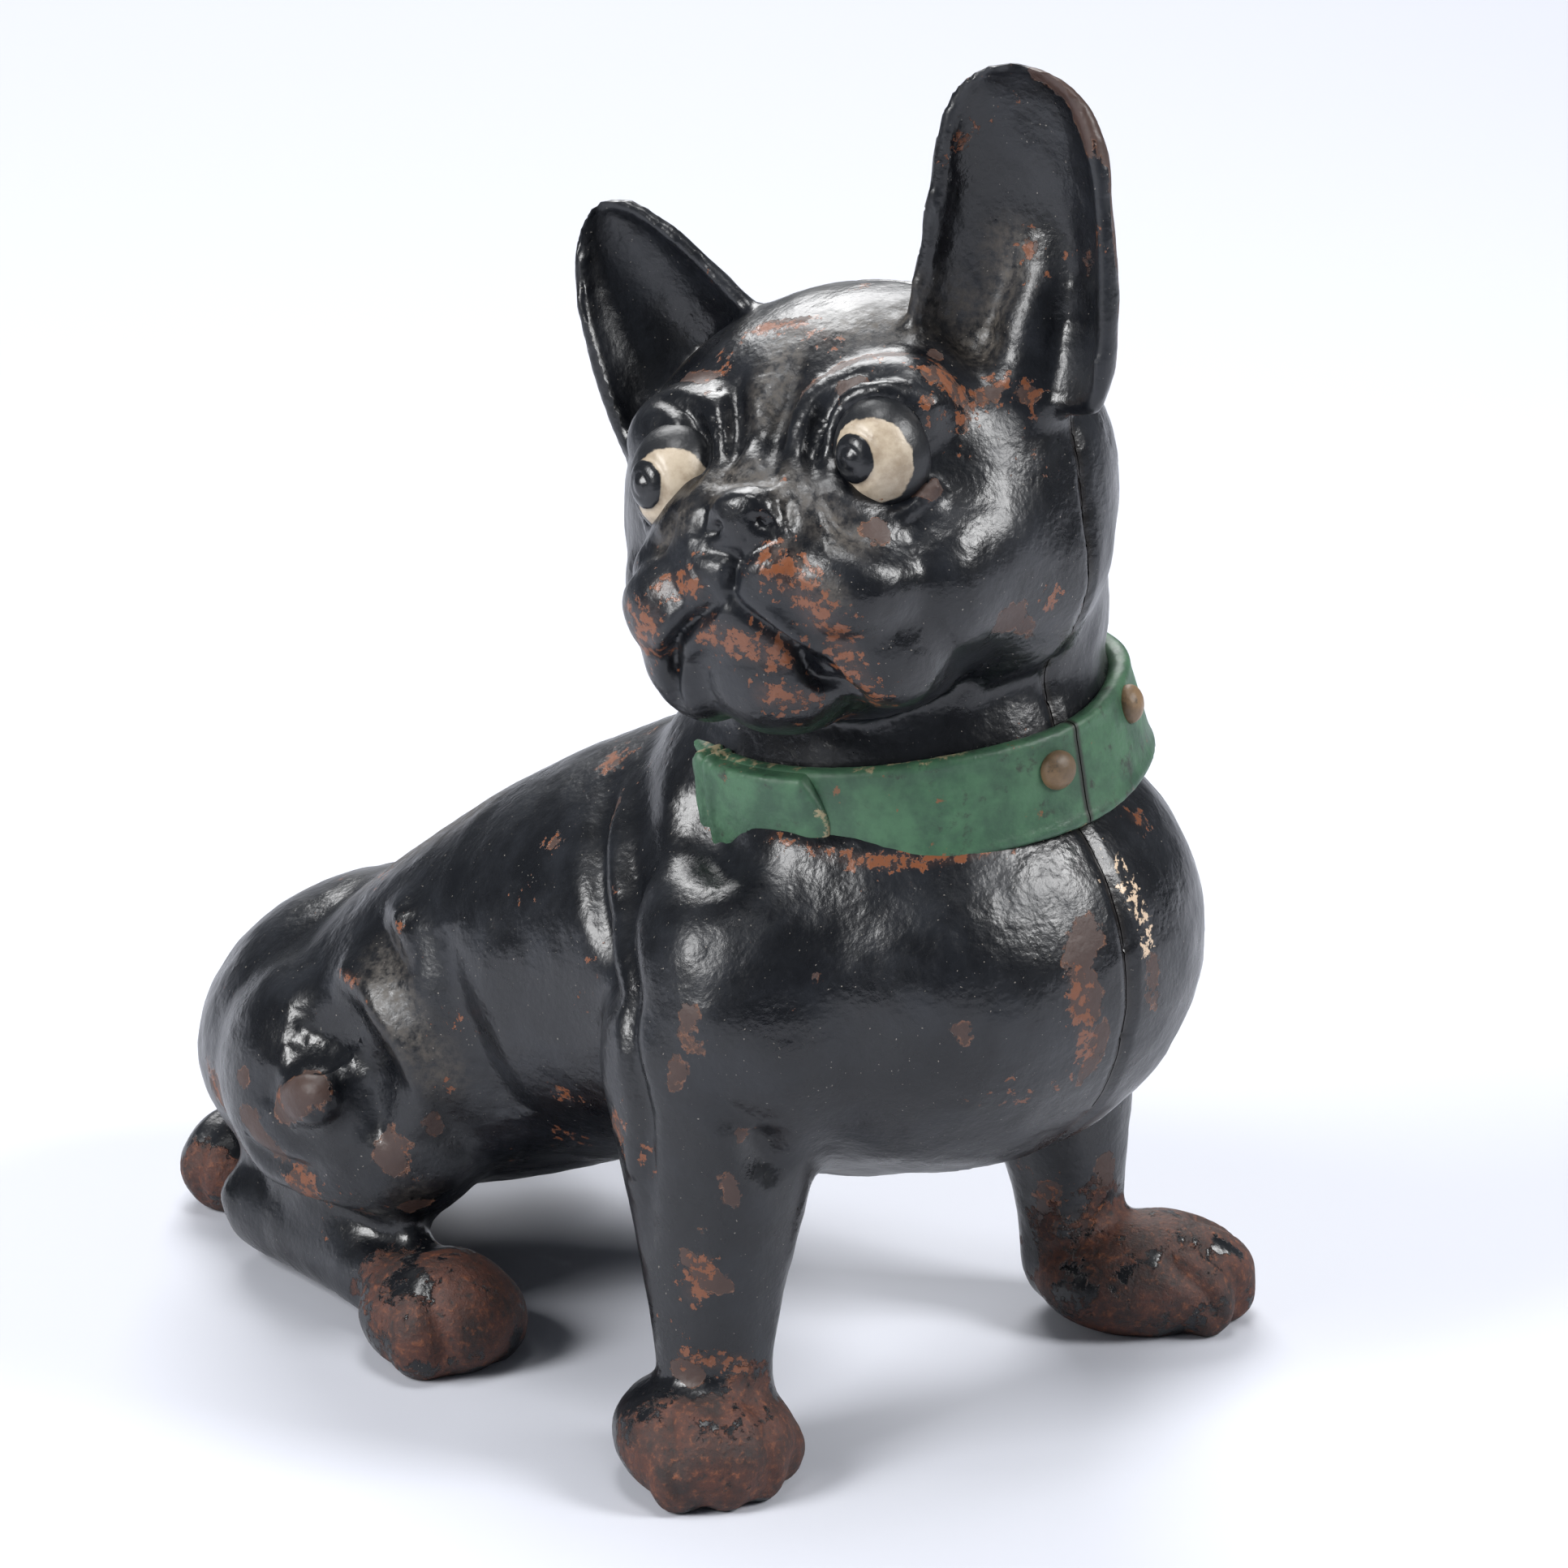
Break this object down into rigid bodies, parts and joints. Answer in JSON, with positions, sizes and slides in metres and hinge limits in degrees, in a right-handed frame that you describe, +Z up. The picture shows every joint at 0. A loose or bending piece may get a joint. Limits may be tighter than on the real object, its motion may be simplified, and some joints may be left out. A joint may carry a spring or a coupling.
{
  "type": "figural coin bank",
  "caption": "Seated bulldog coin bank: two hollow iron castings split along the body, joined by slotted screws, with a coin slot in the back.",
  "frame": {"origin": "bottom centre of the bounding box, on the plane the paws stand on", "axes": "+Z up, the chest faces -Y, the dog's left side and the way the left casting comes off is +X"},
  "size_m": [0.117, 0.1732, 0.1958],
  "materials": {
    "enamelled_iron": "black gloss enamel over cast iron, green collar, cream eyes, chipped and rusted at the paws",
    "screw_steel": "aged bare steel",
    "washer_steel": "aged bare steel",
    "nut_iron": "bare iron with light rust"
  },
  "bodies": {
    "right_casting": {"right_half_casting": "enamelled_iron", "shoulder_nut": "nut_iron", "hip_nut": "nut_iron"},
    "left_casting": {"left_half_casting": "enamelled_iron"},
    "shoulder_washer": {"shoulder_washer": "washer_steel"},
    "shoulder_screw": {"shoulder_screw": "screw_steel"},
    "hip_washer": {"hip_washer": "washer_steel"},
    "hip_screw": {"hip_screw": "screw_steel"}
  },
  "joints": [
    {"name": "left_half_lift_off", "type": "slide", "parent": "right_casting", "child": "left_casting", "axis": [1, 0, 0], "range_m": [0, 0.09]},
    {"name": "shoulder_screw_back_out", "type": "slide", "parent": "left_casting", "child": "shoulder_washer", "axis": [1, 0, 0], "range_m": [0, 0.01058]},
    {"name": "shoulder_screw_turn", "type": "hinge", "parent": "shoulder_washer", "child": "shoulder_screw", "pos_m": [-0.00118, -0.04667, 0.07777], "axis": [1, 0, 0], "range_deg": [0, 3601]},
    {"name": "hip_screw_back_out", "type": "slide", "parent": "left_casting", "child": "hip_washer", "axis": [1, 0, 0], "range_m": [0, 0.01058]},
    {"name": "hip_screw_turn", "type": "hinge", "parent": "hip_washer", "child": "hip_screw", "pos_m": [-0.00118, 0.03408, 0.04687], "axis": [1, 0, 0], "range_deg": [0, 3601]}
  ],
  "couplings": [
    {"joint": "shoulder_screw_turn", "follows": "shoulder_screw_back_out", "rad_per_m": 5937.1},
    {"joint": "hip_screw_turn", "follows": "hip_screw_back_out", "rad_per_m": 5937.1}
  ]
}
